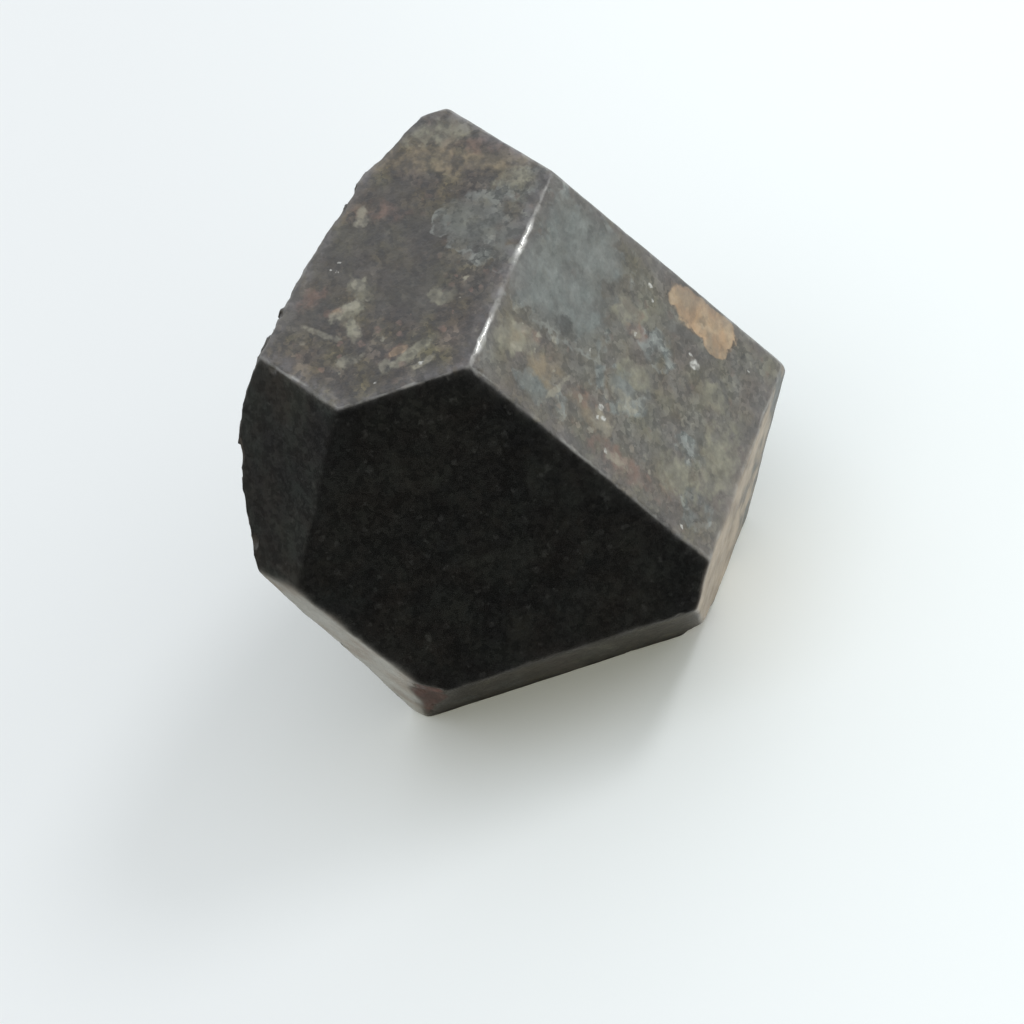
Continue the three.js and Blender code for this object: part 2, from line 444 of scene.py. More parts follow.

# Glints: small bright spots painted on as highlights, across and along as above, and radius in mm.
topGlints = [(-2.2, 4.6, 0.04), (-2.45, 4.45, 0.035), (-2.3, 4.3, 0.03), (-1.0, 0.6, 0.06),
             (-2.1, 0.45, 0.05)]
rightGlints = [(5.2, 4.3, 0.14), (3.4, 5.3, 0.07), (3.6, 5.0, 0.06), (3.4, 1.2, 0.06), (3.9, 0.6, 0.06),
               (3.4, 1.5, 0.08), (3.55, 1.3, 0.07), (6.6, 5.2, 0.04), (3.5, 3.85, 0.05), (2.6, 2.6, 0.045),
               (5.05, 4.45, 0.06), (6.4, 0.3, 0.05)]


# The field of some ovals: the greatest of 1 - |turned offset / half sizes|, which is 1 in the middle of
# an oval and 0 on its outline, and at least -1.
def ovalField(across, along, ovals):
    field = np.full(len(across), -1.0)
    for middleAcross, middleAlong, halfLength, halfWidth, *turn in ovals:
        angle = math.radians(sum(turn))
        cosine, sine = math.cos(angle), math.sin(angle)
        offsetAcross, offsetAlong = across - middleAcross, along - middleAlong
        long = (offsetAcross * cosine + offsetAlong * sine) / halfLength
        short = (offsetAlong * cosine - offsetAcross * sine) / halfWidth
        field = np.maximum(field, 1 - np.hypot(long, short))
    return field


# The corner where top, right and front meet, and the directions down and up the right face's edges.
def markFrame(names, normals, away):
    meeting = [names.index(name) for name in ("top", "right", "front")]
    corner = np.linalg.solve(normals[meeting], away[meeting])
    top, right, front = normals[meeting]
    return corner, unit(np.cross(right, front)), unit(np.cross(top, right))


# Where the marks lie. On the other faces a field in wildMarks is noise - 1 + amount, and the rest are -1.
def markFields(points, shares, names, normals, away):
    corner, downEdge, upEdge = markFrame(names, normals, away)
    offset = points - corner
    onTop, onRight = shares[:, names.index("top")], shares[:, names.index("right")]
    fields = {}
    for number, mark in enumerate(topMarks):
        topField = ovalField(offset[:, 0], offset[:, 1], topMarks[mark])
        rightField = ovalField(offset @ downEdge, offset @ upEdge, rightMarks[mark])
        wildField = -1.0
        if mark in wildMarks:
            noise = layeredNoise(points / wildSize, crystalShape["seed"] + 80 + 5 * number, 2)
            wildField = noise - 1 + wildMarks[mark]
        fields[mark] = onTop * topField + onRight * rightField + (1 - onTop - onRight) * wildField
    return fields


def newObject(name, data):
    added = bpy.data.objects.new(name, data)
    bpy.context.scene.collection.objects.link(added)
    return added


def newMaterial(name):
    material = bpy.data.materials.new(name)
    material.use_nodes = True
    return material, material.node_tree


# Every point of the sharp shell moves along its line from the middle, and stores what the finish needs:
# the values of its faces, blended by its shares, and its marks.
def makeCrystal():
    names, normals, away, steps, kinds = crystalPlanes()
    sharp, triangles, corners, loops = sharpShell(normals, away, steps)
    startReach = np.linalg.norm(sharp, axis=1)
    rays = sharp / startReach[:, None]
    relief = sideRelief(sharp, kinds)
    shape = crystalShape
    wander = layeredNoise(sharp / shape["edgeWander"], shape["seed"] + 60, 3)
    sharpness = shape["edgeSharpness"] * 2.0 ** (shape["edgeUnevenness"] * wander)
    reach, shares = roundedReach(rays, startReach, normals, away + relief, kinds, sharpness)
    bitten = biteNicks(rays, reach, corners, loops)
    points = rays * bitten[:, None]

    mesh = bpy.data.meshes.new("crystalSkin")
    mesh.from_pydata((points * mm + crystalMiddle).tolist(), [], triangles.tolist())
    mesh.polygons.foreach_set("use_smooth", np.ones(len(triangles), bool))

    gaps = np.sort(away - sharp @ normals.T, axis=1)[:, 1]
    growth = list(growthFaces.values())
    values = {}
    for name in ("skin", "cool", "coat", "light"):
        values[name] = shares[:, :len(growth)] @ np.array([face[name] for face in growth])
    nicked = np.minimum((reach - bitten) / shape["nickShown"], 0.4)
    values["hollow"] = smoothStep(*shape["dustyFrom"], (relief * (kinds == "break")).min(axis=1))
    values["fracture"] = shares[:, kinds == "break"].sum(axis=1)
    values["chip"] = np.maximum(shares[:, kinds == "chip"].sum(axis=1), nicked)
    values["edgeGap"] = np.minimum(gaps, 1.0)
    values.update(markFields(points, shares, names, normals, away))
    for name, value in values.items():
        layer = mesh.attributes.new(name, "FLOAT", "POINT")
        layer.data.foreach_set("value", value.astype(np.float32))
    mesh.validate()
    print("crystal mesh:", len(points), "points,", len(triangles), "triangles")
    return newObject("crystal_skin", mesh)


# Each input of a node is a value, or another node's output to link from.
def setInputs(tree, node, inputs):
    for name, value in inputs.items():
        socket = node.inputs[name]
        if isinstance(value, bpy.types.NodeSocket):
            tree.links.new(value, socket)
        else:
            socket.default_value = value


def addNode(tree, kind, inputs=None, **settings):
    node = tree.nodes.new(kind)
    for name, value in settings.items():
        setattr(node, name, value)
    setInputs(tree, node, inputs or {})
    return node


def mathNode(tree, operation, first, second=0.0, clamp=False):
    node = addNode(tree, "ShaderNodeMath", {0: first, 1: second}, operation=operation, use_clamp=clamp)
    return node.outputs[0]


def mathNodes(tree, *operations):
    return [partial(mathNode, tree, operation) for operation in operations]


# Output 0 is the vector that comes out, and output 1 the number.
def vectorNode(tree, operation, inputs, output=0):
    return addNode(tree, "ShaderNodeVectorMath", inputs, operation=operation).outputs[output]


# The place in the object in mm.
def objectPlace(tree):
    coordinates = addNode(tree, "ShaderNodeTexCoord")
    return vectorNode(tree, "SCALE", {0: coordinates.outputs["Object"], "Scale": 1 / mm})


def mixColor(tree, share, first, second, blend="MIX"):
    node = addNode(tree, "ShaderNodeMix", {0: share, 6: first, 7: second}, data_type="RGBA", blend_type=blend)
    return node.outputs[2]


# Goes smoothly from least to most as the value goes from low to high.
def ramp(tree, value, low, high, least=0.0, most=1.0):
    node = addNode(tree, "ShaderNodeMapRange", {0: value, 1: low, 2: high, 3: least, 4: most},
                   interpolation_type="SMOOTHSTEP")
    return node.outputs[0]


# A group of nodes. Its inputs are a place, if it has one, and numbers; its outputs are numbers.
def newGroup(name, inputs, outputs):
    tree = bpy.data.node_groups.new(name, "ShaderNodeTree")
    for socketName, value in inputs.items():
        kind = "NodeSocketVector" if socketName == "Place" else "NodeSocketFloat"
        socket = tree.interface.new_socket(socketName, in_out="INPUT", socket_type=kind)
        socket.default_value = value
    for socketName in outputs:
        tree.interface.new_socket(socketName, in_out="OUTPUT", socket_type="NodeSocketFloat")
    return tree, tree.nodes.new("NodeGroupInput").outputs, tree.nodes.new("NodeGroupOutput")


# Cloudy variation: noise at a size given in mm, spread out so that it runs from 0 to 1. The seed moves
# the place so that no two clouds lie alike.
def makeCloudGroup():
    tree, given, result = newGroup(
        "clouds", {"Place": (0, 0, 0), "Size": 1.0, "Seed": 0.0, "Detail": 3.0, "Grit": 0.5, "Spread": 0.2},
        ("Value",))
    plus, minus, divide = mathNodes(tree, "ADD", "SUBTRACT", "DIVIDE")
    apart = vectorNode(tree, "SCALE", {0: (7.31, 3.77, 5.39), "Scale": given["Seed"]})
    place = vectorNode(tree, "ADD", {0: given["Place"], 1: apart})
    noise = addNode(tree, "ShaderNodeTexNoise", {"Vector": place, "Scale": divide(1.0, given["Size"]),
                                                 "Detail": given["Detail"], "Roughness": given["Grit"]})
    low, high = minus(0.5, given["Spread"]), plus(0.5, given["Spread"])
    setInputs(tree, result, {"Value": ramp(tree, noise.outputs[0], low, high)})
    return tree


# Separate specks: round spots of random size, one per cell of the given size in mm. Share is how
# many of the cells hold one, and Tone is a number of each cell's own, 0 to 1.
def makeSpeckGroup():
    tree, given, result = newGroup(
        "specks", {"Place": (0, 0, 0), "Size": 0.3, "Share": 0.3}, ("Mask", "Tone"))
    times, divide = mathNodes(tree, "MULTIPLY", "DIVIDE")
    scale = divide(1.0, given["Size"])
    cells = addNode(tree, "ShaderNodeTexVoronoi", {"Vector": given["Place"], "Scale": scale})
    number = addNode(tree, "ShaderNodeSeparateColor", {0: cells.outputs["Color"]})
    held = mathNode(tree, "LESS_THAN", number.outputs[0], given["Share"])
    radius = ramp(tree, number.outputs[1], 0.0, 1.0, 0.12, 0.42)
    spot = ramp(tree, divide(cells.outputs["Distance"], radius), 1.1, 0.6)
    setInputs(tree, result, {"Mask": times(held, spot), "Tone": number.outputs[2]})
    return tree


# Turns a mark's field into a ragged-edged mask and a thin line along its outline:
# field + (noise - 0.5) * ragged, taken from -soft to soft.
def makeMarkGroup():
    tree, given, result = newGroup(
        "ragged mark", {"Field": 0.0, "Noise": 0.5, "Ragged": 0.5, "Soft": 0.1}, ("Mask", "Rim"))
    plus, minus, times, divide = mathNodes(tree, "ADD", "SUBTRACT", "MULTIPLY", "DIVIDE")
    push = times(minus(given["Noise"], 0.5), given["Ragged"])
    share = divide(plus(given["Field"], push), given["Soft"])
    rim = ramp(tree, mathNode(tree, "ABSOLUTE", share), 1.0, 0.2)
    setInputs(tree, result, {"Mask": ramp(tree, share, -1.0, 1.0), "Rim": rim})
    return tree


groups = {"clouds": makeCloudGroup(), "specks": makeSpeckGroup(), "mark": makeMarkGroup()}


def useGroup(tree, name, inputs):
    return addNode(tree, "ShaderNodeGroup", inputs, node_tree=groups[name]).outputs


# A soft-edged ball of space round each painted glint highlight, where it meets the face.
def glintMask(tree, place):
    names, normals, away = crystalPlanes()[:3]
    corner, downEdge, upEdge = markFrame(names, normals, away)
    spots = [(corner + (across, along, 0), radius) for across, along, radius in topGlints]
    for across, along, radius in rightGlints:
        spots.append((corner + across * downEdge + along * upEdge, radius))
    mask = 0.0
    for spot, radius in spots:
        middle = tuple(spot + crystalMiddle / mm)
        gap = vectorNode(tree, "DISTANCE", {0: place, 1: middle}, 1)
        mask = mathNode(tree, "MAXIMUM", mask, ramp(tree, gap, radius * 1.2, radius * 0.5))
    return mask


crystalFinish = {
    "bare": (0.007, 0.007, 0.007, 1),
    "bareWarm": (0.014, 0.011, 0.008, 1),
    "bareGreen": (0.010, 0.013, 0.011, 1),
    "warmSkin": [(0.022, 0.0172, 0.0138), (0.042, 0.034, 0.026), (0.063, 0.0545, 0.0420),
                 (0.115, 0.103, 0.077)],
    "coolSkin": [(0.088, 0.102, 0.098), (0.145, 0.160, 0.152), (0.205, 0.220, 0.208),
                 (0.290, 0.300, 0.280)],
    "purpleTint": (1.0, 0.87, 0.89, 1),
    "oliveTint": (1.04, 1.04, 0.66, 1),
    "smooth": (0.040, 0.036, 0.032, 1),
    "ochre": (0.235, 0.185, 0.115, 1),
    "olive": (0.230, 0.220, 0.160, 1),
    "redBrown": (0.180, 0.108, 0.080, 1),
    "rust": (0.390, 0.255, 0.140, 1),
    "rustPale": (0.400, 0.300, 0.190, 1),
    "tan": (0.330, 0.310, 0.240, 1),
    "filmRim": (0.260, 0.275, 0.255, 1),
    # pale: pale flecks on the bare mineral, and the colour of the painted glint highlights
    "pale": (0.480, 0.480, 0.450, 1),
    "fringe": (0.165, 0.155, 0.160, 1),
    "coat": (0.425, 0.352, 0.272, 1),
    "coatBrown": (0.290, 0.235, 0.180, 1),
    "coatGrey": (0.150, 0.150, 0.140, 1),
    "coatPale": (0.390, 0.375, 0.330, 1),  # on the left
    "coatGrainAlong": (0.57, 0.60, 0.56),  # the coat's mottles are longer across this
    "coatStretch": 0.55,  # how long the mottles are, less is longer
    "coatGreyFrom": (-2.9, 0.2),  # mm along Y, where grey starts and where it is full
    "coatPaleFrom": (0.0, -2.0),  # mm along X, where the pale coat starts and where it is full
    "fracture": (0.017, 0.017, 0.017, 1),
    "fractureWarm": (0.030, 0.026, 0.021, 1),
    "dust": (0.075, 0.062, 0.044, 1),
    "brokenRim": (0.110, 0.095, 0.078, 1),
    "chip": (0.140, 0.055, 0.040, 1),
    # worn: the pale colour of worn edges, which also paints their highlights
    "wornAndHighlight": (0.520, 0.520, 0.500, 1),
    "clouds": {  # size in mm, seed, and layers of detail
        "broad": (1.5, 1.0, 2.0), "patches": (0.6, 2.0, 3.0), "blots": (0.24, 3.0, 3.0),
        "spots": (0.32, 5.0, 3.0), "grains": (0.09, 4.0, 2.0), "purple": (0.8, 6.0, 1.0),
        "olive": (0.7, 7.0, 1.0), "film": (0.4, 9.0, 2.0), "cool": (0.5, 8.0, 2.0),
        "dark": (0.15, 12.0, 1.0), "mottle": (0.6, 21.0, 2.0),
    },
    "specks": {  # size of a cell in mm, and the share of cells that hold one
        "coarse": (0.3, 0.22), "fine": (0.12, 0.0), "flecks": (0.24, 0.6), "pits": (0.6, 0.14),
    },
    "outlines": {  # how ragged and how soft a mark's outline is
        "smooth": (0.8, 0.6), "speckle": (0.9, 0.6), "film": (0.42, 0.14), "ochre": (1.1, 0.6),
        "olive": (0.75, 0.35), "redBrown": (0.85, 0.45), "rust": (0.36, 0.12), "pale": (0.9, 0.4),
    },
    "stainStrength": {"ochre": (0.3, 0.8), "olive": (0.35, 0.85), "redBrown": (0.1, 0.7)},
    "filmStrength": (0.62, 0.95),  # on dark and on pale faces
    "lightLift": 1.5,  # how much paler the skin is on the palest face
    "patternScale": (1.0, 0.7, 1.0),  # grains and stains are longer along Y
    "shakeSize": 0.125,  # mm, the wobble that makes specks uneven
    "shakeReach": 0.08,  # mm
    "fringeWidth": 0.5,  # mm
    "wearWidth": (0.04, 0.09),  # mm
    "roughness": 0.34,
    "skinRoughness": (0.08, 0.2),  # added to it
    "dustRoughness": 0.15,
    "coatRoughness": 0.12,
    "polishSmoothness": 0.2,  # taken from it
    "filmMetal": 0.5,
    "polishMetal": 0.8,
    "specular": (0.5, 0.3),  # bare and coated
    "ior": 1.6,
    "bumpDepth": 0.015,  # mm
}


def crystalMaterial():
    look = crystalFinish
    material, tree = newMaterial("uraninite")
    tree.nodes.clear()
    plus, minus, times, divide, larger = mathNodes(
        tree, "ADD", "SUBTRACT", "MULTIPLY", "DIVIDE", "MAXIMUM")
    vector, rise, cover = partial(vectorNode, tree), partial(ramp, tree), partial(mixColor, tree)

    place, shake = objectPlace(tree), look["shakeReach"]
    noise = addNode(tree, "ShaderNodeTexNoise",
                    {"Vector": place, "Scale": 1 / look["shakeSize"], "Detail": 1.0})
    shaken = vector("MULTIPLY_ADD", {0: noise.outputs["Color"], 1: (2 * shake,) * 3, 2: place})
    shaken = vector("SUBTRACT", {0: shaken, 1: (shake,) * 3})
    patternPlace = vector("MULTIPLY", {0: place, 1: look["patternScale"]})
    speckPlace = vector("MULTIPLY", {0: shaken, 1: look["patternScale"]})

    def clouds(name, where=patternPlace, spread=0.2, grit=0.5):
        size, seed, detail = look["clouds"][name]
        given = {"Place": where, "Size": size, "Seed": seed, "Detail": detail, "Grit": grit, "Spread": spread}
        return useGroup(tree, "clouds", given)["Value"]

    def specks(name):
        size, share = look["specks"][name]
        return useGroup(tree, "specks", {"Place": speckPlace, "Size": size, "Share": share})

    def mark(name, outline):
        ragged, soft = look["outlines"][name]
        given = {"Field": stored(name), "Noise": outline, "Ragged": ragged, "Soft": soft}
        return useGroup(tree, "mark", given)

    def stored(name):
        return addNode(tree, "ShaderNodeAttribute", attribute_name=name).outputs["Fac"]

    def between(value, least, most):
        return rise(value, 0.0, 1.0, least, most)

    def coverAll(color, layers):
        for share, over in layers:
            color = cover(share, color, over)
        return color

    def tint(color, by, share=1.0):
        return cover(share, color, by, "MULTIPLY")

    def shades(value, colors):
        node = addNode(tree, "ShaderNodeValToRGB", {0: value})
        stops = node.color_ramp.elements
        while len(stops) < len(colors):
            stops.new(0.5)
        for number, color in enumerate(colors):
            stops[number].position = number / (len(colors) - 1)
            stops[number].color = (*color, 1)
        return node.outputs[0]

    # shared patterns, from broad clouds down to grains
    skin, light = stored("skin"), stored("light")
    broad, blots, spots, grains = map(clouds, ("broad", "blots", "spots", "grains"))
    patches = clouds("patches", grit=0.55)
    coarse, flecks, pits, fine = map(specks, ("coarse", "flecks", "pits", "fine"))
    fine = fine["Tone"]
    smooth, speckle = mark("smooth", patches)["Mask"], mark("speckle", spots)["Mask"]
    lively = between(smooth, 1.0, 0.35)

    # warm skin of small mineral grains from dark brown to tan, tinted purple and olive in clouds
    granular = plus(plus(times(patches, 0.6), times(coarse["Tone"], 0.2)), times(fine, 0.2))
    granular = plus(0.5, times(minus(granular, 0.5), between(light, 1.0, 0.45)))
    crust = shades(granular, look["warmSkin"])
    crust = tint(crust, look["purpleTint"], clouds("purple"))
    crust = tint(crust, look["oliveTint"], clouds("olive"))
    crust = cover(times(smooth, 0.6), crust, look["smooth"])
    crust = tint(crust, between(light, 1.0, look["lightLift"]))

    # the cool film: thick and even in the blue places, thin and patchy elsewhere
    film = mark("film", spots)
    blue = rise(stored("blue"), -0.3, 0.6)
    thin = between(clouds("film", spread=0.22), 0.15, 1.0)
    thickness = larger(thin, times(blue, rise(thin, 0.15, 1.0, 0.8, 0.95)))
    filmHere = times(times(film["Mask"], thickness), between(light, *look["filmStrength"]))
    coolness = times(stored("cool"), rise(broad, 0.1, 0.8, 0.5, 1.3), True)
    coolness = larger(times(coolness, rise(thin, 0.15, 1.0, 0.6, 1.0)), filmHere)
    coolTone = plus(times(clouds("cool"), 0.7), times(fine, 0.3))
    coolTone = cover(times(blue, 0.5), coolTone, (0.52, 0.52, 0.52, 1))
    crust = cover(coolness, crust, shades(between(coolTone, 0.2, 0.7), look["coolSkin"]))

    # the grains again, each a little lighter or darker, hardly seen where the skin is smooth
    grainTone = rise(plus(times(fine, 0.65), times(grains, 0.35)), 0.15, 0.85)
    grainRange = times(lively, between(larger(blue, times(light, 0.45)), 0.8, 0.15))
    crust = tint(crust, plus(1.0, times(minus(grainTone, 0.42), grainRange)))

    # stains, each patchy from the least to the most of its strength
    stains = {"ochre": (spots, blots), "olive": (blots, spots), "redBrown": (blots, spots)}
    for name, (outline, patchy) in stains.items():
        strength = rise(patchy, 0.0, 0.9, *look["stainStrength"][name])
        crust = cover(times(mark(name, outline)["Mask"], strength), crust, look[name])
    rust = mark("rust", spots)
    rustColor = cover(spots, look["rust"], look["rustPale"])
    rustHere = times(times(rust["Mask"], between(light, 0.5, 1.0)), between(blots, 1.0, 0.85))
    rustRim = times(rust["Rim"], rise(patches, 0.5, 0.8, 0.0, 0.6))

    # pale edge of the film, pale fringe close to the crystal's edges, flecks and dark pits
    filmRim = times(film["Rim"], rise(stored("rim"), -0.2, 0.4))
    fringe = times(rise(stored("edgeGap"), look["fringeWidth"], 0.0), between(light, 1.0, 0.5))
    fleckAmount = times(larger(rise(broad, 0.3, 0.9, 0.05, 0.35), speckle), lively)
    fleckColor = cover(rise(flecks["Tone"], 0.55, 0.7), look["tan"], look["redBrown"])
    darkFlecks = times(rise(clouds("dark"), 0.5, 1.0), between(light, 0.35, 0.12))
    darkGrains = times(coarse["Mask"], rise(broad, 0.2, 0.8, 0.0, 0.35))
    crust = coverAll(crust, [
        (rustHere, rustColor),
        (rustRim, look["bare"]),
        (times(filmRim, rise(blots, 0.1, 0.7, 0.1, 0.5)), look["filmRim"]),
        (times(fringe, rise(blots, 0.1, 0.9, 0.25, 0.75)), look["fringe"]),
        (times(times(flecks["Mask"], fleckAmount), 0.7), fleckColor),
        (times(mark("pale", blots)["Mask"], between(blots, 0.2, 0.6)), look["tan"]),
        (darkFlecks, look["bare"]),
        (times(pits["Mask"], 0.6), look["bare"]),
        (darkGrains, look["bare"]),
        (times(grains, 0.12), look["bare"]),
    ])

    # bare mineral under the skin
    bare = cover(times(broad, 0.6), look["bare"], look["bareWarm"])
    bare = cover(times(patches, 0.5), bare, look["bareGreen"])
    bare = tint(bare, between(light, 1.0, 2.6))
    bare = tint(bare, between(grainTone, 0.75, 1.25))
    bare = cover(times(times(flecks["Mask"], grains), 0.03), bare, look["pale"])
    skinAmount = times(skin, between(patches, 0.7, 1.3), True)
    body = cover(skinAmount, bare, crust)

    # tan coating in mottles that are longer across coatGrainAlong, greyer to the back and left
    grainAlong, stretch = look["coatGrainAlong"], look["coatStretch"]
    along = vector("DOT_PRODUCT", {0: place, 1: grainAlong}, 1)
    drawnOut = vector("SCALE", {0: grainAlong, "Scale": times(along, 1 - stretch)})
    drawnOut = vector("MULTIPLY_ADD", {0: place, 1: (stretch,) * 3, 2: drawnOut})
    mottle = clouds("mottle", drawnOut, 0.26)
    spread = addNode(tree, "ShaderNodeSeparateXYZ", {0: place}).outputs
    coating = cover(mottle, look["coat"], look["coatBrown"])
    back = plus(spread["Y"], between(mottle, -1.3, 1.3))
    coating = cover(rise(back, *look["coatGreyFrom"]), coating, look["coatGrey"])
    paleMottle = cover(rise(mottle, 0.2, 0.9, 0.0, 0.7), look["coatPale"], look["coatBrown"])
    coating = cover(rise(spread["X"], *look["coatPaleFrom"]), coating, paleMottle)
    coating = tint(coating, between(grainTone, 0.94, 1.05))
    coat = times(stored("coat"), rise(broad, 0.1, 0.8, 0.9, 1.1), True)

    # the fresh break with its dust and paler rim, and the chips
    dust = times(stored("hollow"), between(blots, 0.4, 1.0))
    dust = plus(dust, times(rise(broad, 0.45, 0.95), rise(patches, 0.3, 0.9, 0.0, 0.6)), True)
    fracture = stored("fracture")
    broken = cover(patches, look["fracture"], look["fractureWarm"])
    broken = cover(times(dust, 0.6), broken, look["dust"])
    broken = tint(broken, between(grainTone, 0.8, 1.25))
    brokenRim = times(rise(fracture, 0.1, 0.4), rise(fracture, 0.98, 0.7))
    chip = stored("chip")
    flake = cover(times(patches, 0.5), look["chip"], look["fractureWarm"])
    flake = cover(rise(chip, 0.4, 0.8), look["brokenRim"], flake)

    # edges are worn a little pale, which also paints highlights on the rounded edges, and polished bright
    # along parts of the edge between top and right, where a pale, metallic, smoother band paints the
    # highlight
    polishAndHighlight = rise(stored("polishAndHighlight"), 0.0, 0.7)
    wearWidth = plus(rise(patches, 0.1, 0.9, *look["wearWidth"]), times(polishAndHighlight, 0.02))
    wearAndHighlight = rise(divide(stored("edgeGap"), wearWidth), 1.2, 0.3)
    wearAndHighlight = times(wearAndHighlight, rise(skin, 0.15, 0.6))
    wearPatches = times(rise(spots, 0.1, 0.9, 0.05, 0.3), rise(broad, 0.2, 0.7, 0.5, 1.0))
    paleEdgeAndSheen = rise(stored("paleEdgeAndSheen"), 0.0, 0.6, 0.0, 0.5)
    wearPatches = larger(wearPatches, times(paleEdgeAndSheen, rise(blots, 0.0, 0.8, 0.5, 1.0)))
    wearAndHighlight = times(wearAndHighlight, larger(wearPatches, times(polishAndHighlight, rise(blots, 0.0, 0.6, 0.5, 0.9))))
    body = coverAll(body, [
        (coat, coating),
        (fracture, broken),
        (times(brokenRim, between(blots, 0.4, 0.8)), look["brokenRim"]),
        (times(chip, between(spots, 0.95, 0.6)), flake),
        (wearAndHighlight, look["wornAndHighlight"]),
        # painted highlights: the glints
        (times(glintMask(tree, shaken), between(grains, 0.4, 1.0)), look["pale"]),
    ])

    metallic = larger(times(times(coolness, skinAmount), look["filmMetal"]),
                      times(wearAndHighlight, times(polishAndHighlight, look["polishMetal"])))
    roughness = plus(look["roughness"], times(skinAmount, between(blots, *look["skinRoughness"])))
    roughness = plus(roughness, times(larger(times(dust, fracture), chip), look["dustRoughness"]))
    roughness = plus(roughness, times(coat, look["coatRoughness"]))
    roughness = minus(roughness, times(polishAndHighlight, times(wearAndHighlight, look["polishSmoothness"])), True)

    relief = plus(times(blots, 0.6), times(grains, 0.3))
    relief = times(relief, minus(rise(skin, 0.0, 0.5, 0.3, 1.0), times(stored("coat"), 0.6)))
    bump = addNode(tree, "ShaderNodeBump",
                   {"Height": relief, "Distance": look["bumpDepth"] * mm, "Strength": 1.0})
    shader = addNode(tree, "ShaderNodeBsdfPrincipled", {
        "Base Color": body, "Roughness": roughness, "Metallic": metallic, "IOR": look["ior"],
        "Specular IOR Level": between(coat, *look["specular"]), "Normal": bump.outputs[0]})
    addNode(tree, "ShaderNodeOutputMaterial", {"Surface": shader.outputs[0]})
    return material


crystal = makeCrystal()
crystal.data.materials.append(crystalMaterial())
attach(crystal, "root")
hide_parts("crystal")
print("crystal finished")

stageLook = {
    # painted shade and light: the floor's colour is darker to the left and lighter to the right
    "floorShadedNear": (0.735, 0.763, 0.811, 1),  # to the left
    "floorLitFar": (0.840, 0.890, 0.928, 1),  # to the right
    # floorGlow is a painted glow: the floor gives off light of its own, which lightens and warms its shadows
    "floorGlow": (0.100, 0.096, 0.061, 1),  # light coming up through the pale floor
    "floorWidth": 1200,  # mm
    "cardLift": 0.03,  # mm over the floor
    "worldFront": (0.76, 0.76, 0.72, 1),
    "worldBack": (1.12, 1.17, 1.23, 1),
    "worldStrength": 0.88,
    "floorTowards": (0.9, -0.1, 0),  # from near to far
    "floorBlend": (-11.0, 10.0),  # mm that way
    "roomBlend": (-0.7, 0.7),  # from -1 at the front to 1 at the back
}

# Lamps: direction from the crystal's middle, distance and width in m, watts and tint.
lamps = {
    "window": ((0.60, 0.335, 0.72), 0.25, 0.06, 0.13, (1, 0.99, 0.97)),
    "skyPanel": ((-0.10, 0.76, 0.64), 0.40, 0.34, 0.07, (1, 0.97, 0.93)),
    "rightPanel": ((0.98, 0.05, 0.22), 0.30, 0.22, 0.12, (0.99, 1, 0.98)),
}


def floorMaterial():
    material, tree = newMaterial("floor")
    # painted shade: the floor's colour goes from darker at the left to lighter at the right
    across = vectorNode(tree, "DOT_PRODUCT", {0: objectPlace(tree), 1: stageLook["floorTowards"]}, 1)
    share = ramp(tree, across, *stageLook["floorBlend"], 0.05, 0.95)
    base = mixColor(tree, share, stageLook["floorShadedNear"], stageLook["floorLitFar"])
    # the floor glows with floorGlow, painted light of its own
    setInputs(tree, tree.nodes["Principled BSDF"], {
        "Base Color": base, "Emission Color": stageLook["floorGlow"], "Emission Strength": 1.0,
        "Roughness": 1.0, "Specular IOR Level": 0.0})
    return material


# A sheet with its corners given in mm.
def newSheet(name, corners, faces, material):
    mesh = bpy.data.meshes.new(name)
    mesh.from_pydata([tuple(np.array(corner) * mm) for corner in corners], [], faces)
    mesh.materials.append(material)
    return newObject(name, mesh)


def makeFloor():
    half = stageLook["floorWidth"] / 2
    outline = [(-half, -half, 0), (half, -half, 0), (half, half, 0), (-half, half, 0)]
    floor = newSheet("floor", outline, [(0, 1, 2, 3)], floorMaterial())


# A card that only reflections see: it darkens what the front, left and lower faces mirror.
def makeCard(name, corners, faces, color):
    material, tree = newMaterial(name)
    setInputs(tree, tree.nodes["Principled BSDF"], {"Base Color": color, "Specular IOR Level": 0.0})
    lifted = [(x, y, max(z, stageLook["cardLift"])) for x, y, z in corners]
    card = newSheet(name, lifted, faces, material)
    for rays in ("camera", "diffuse", "shadow", "transmission"):
        setattr(card, "visible_" + rays, False)


def makeLamp(name, towards, reach, width, watts, tint):
    light = bpy.data.lights.new(name, "AREA")
    light.shape, light.size, light.energy, light.color = "DISK", width, watts, tint
    lamp = newObject(name, light)
    lamp.location = crystalMiddle + unit(towards) * reach
    lamp.rotation_euler = Vector(towards).to_track_quat("Z", "Y").to_euler()
    lamp.visible_camera = False


# A dark L on the floor in front and to the left, with a wall round it, seen only in reflections, where it
# paints dark reflections: corners in mm, faces and colour.
darkCard = (
    [(25, -9, 0), (-9, -9, 0), (-9, 25, 0), (25, -50, 0), (-50, -50, 0), (-50, 25, 0), (25, -50, 60),
     (-50, -50, 60), (-50, 25, 45)],
    [(0, 1, 4, 3), (1, 2, 5, 4), (3, 4, 7, 6), (4, 5, 8, 7)],
    (0.004, 0.004, 0.004, 1),
)
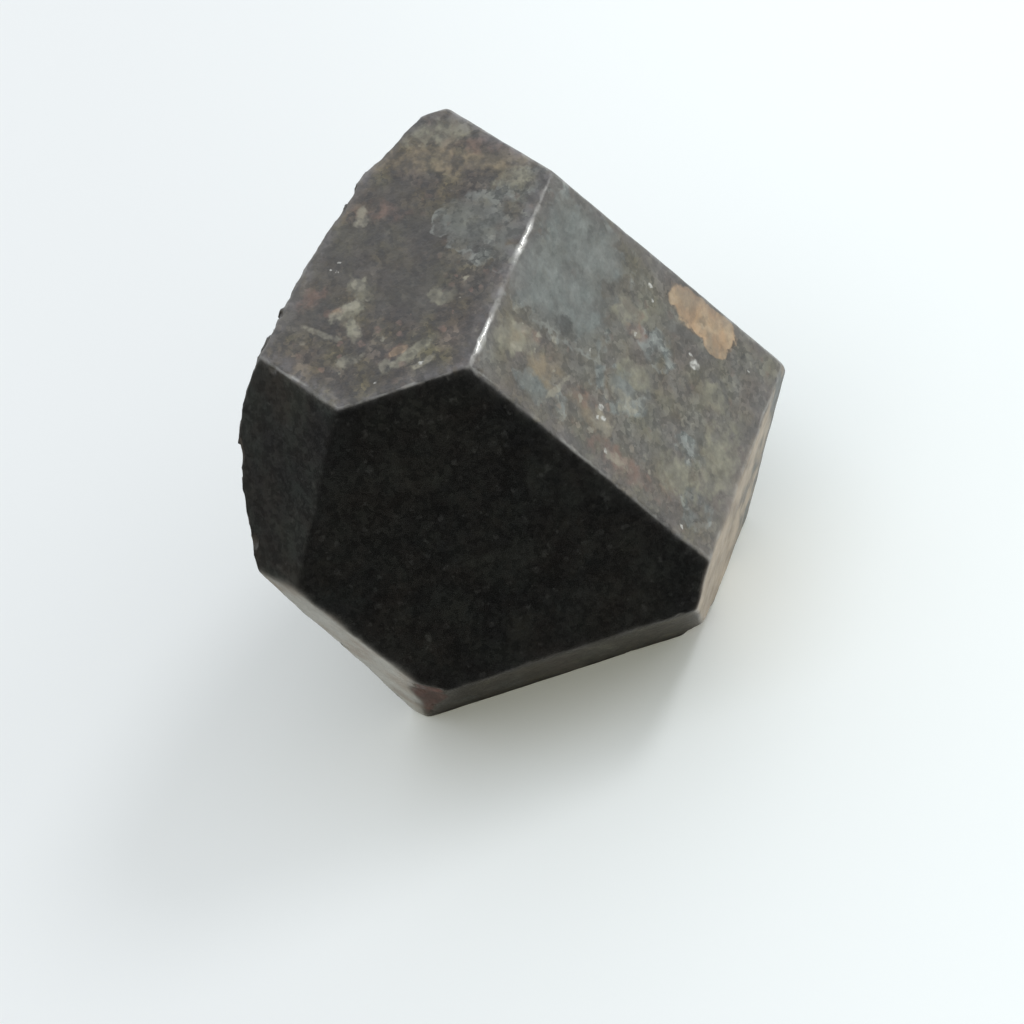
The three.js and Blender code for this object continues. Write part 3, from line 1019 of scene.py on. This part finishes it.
# Painted reflections: cards close in front, seen only in reflections, coloured as the shaded floor that the
# low front face mirrors, the last one, along the crystal's foot, as a painted contact shadow: left, right,
# near and far end in mm, and colour.
frontStrips = {
    "stripLeft": (-5.2, -2.7, -9.0, -4.22, (0.400, 0.385, 0.330, 1)),
    "stripMiddle": (-2.7, -1.2, -9.0, -4.22, (0.500, 0.480, 0.410, 1)),
    "stripRight": (-1.2, 2.7, -9.0, -4.22, (0.520, 0.510, 0.450, 1)),
    "stripContactShadow": (-5.2, 2.7, -4.22, -4.0, (0.060, 0.056, 0.042, 1)),
}

makeFloor()
makeCard("darkCard", *darkCard)
for name, (left, right, near, far, color) in frontStrips.items():
    outline = [(left, near, 0), (right, near, 0), (right, far, 0), (left, far, 0)]
    makeCard(name, outline, [(0, 1, 2, 3)], color)
for name, look in lamps.items():
    makeLamp(name, *look)


# The room is a little darker and warmer on the near side than on the far side.
def makeRoom():
    world = bpy.data.worlds.new("room")
    world.use_nodes = True
    tree = world.node_tree
    towards = addNode(tree, "ShaderNodeTexCoord").outputs["Generated"]
    depth = addNode(tree, "ShaderNodeSeparateXYZ", {0: towards}).outputs["Y"]
    share = ramp(tree, depth, *stageLook["roomBlend"])
    color = mixColor(tree, share, stageLook["worldFront"], stageLook["worldBack"])
    setInputs(tree, tree.nodes["Background"], {"Color": color, "Strength": stageLook["worldStrength"]})
    bpy.context.scene.world = world


makeRoom()
bpy.context.scene.view_settings.view_transform = "Standard"
print("floor, cards and lights ready")

cameraView = {
    "azimuth": 3.10,  # degrees round from straight in front towards +X
    "elevation": 45.13,
    "roll": 20.26,
    "distance": 110.0,  # mm from the aim point
    "aim": (0.44, -6.18, 2.29),  # mm from the crystal's middle
    "lens": 175.8,  # mm
    "sensor": 36.0,  # mm
}


def makeCamera():
    view = cameraView
    backward = direction(view["azimuth"] - 90, view["elevation"])
    camera = bpy.data.cameras.new("camera")
    camera.sensor_width = view["sensor"]
    camera.lens = view["lens"]
    camera.clip_start = 0.005
    stand = newObject("camera", camera)
    stand.location = crystalMiddle + (np.array(view["aim"]) + backward * view["distance"]) * mm
    upright = Vector(backward).to_track_quat("Z", "Y").to_matrix()
    stand.rotation_euler = (upright @ Matrix.Rotation(math.radians(-view["roll"]), 3, "Z")).to_euler()
    bpy.context.scene.camera = stand


makeCamera()
print("camera ready")
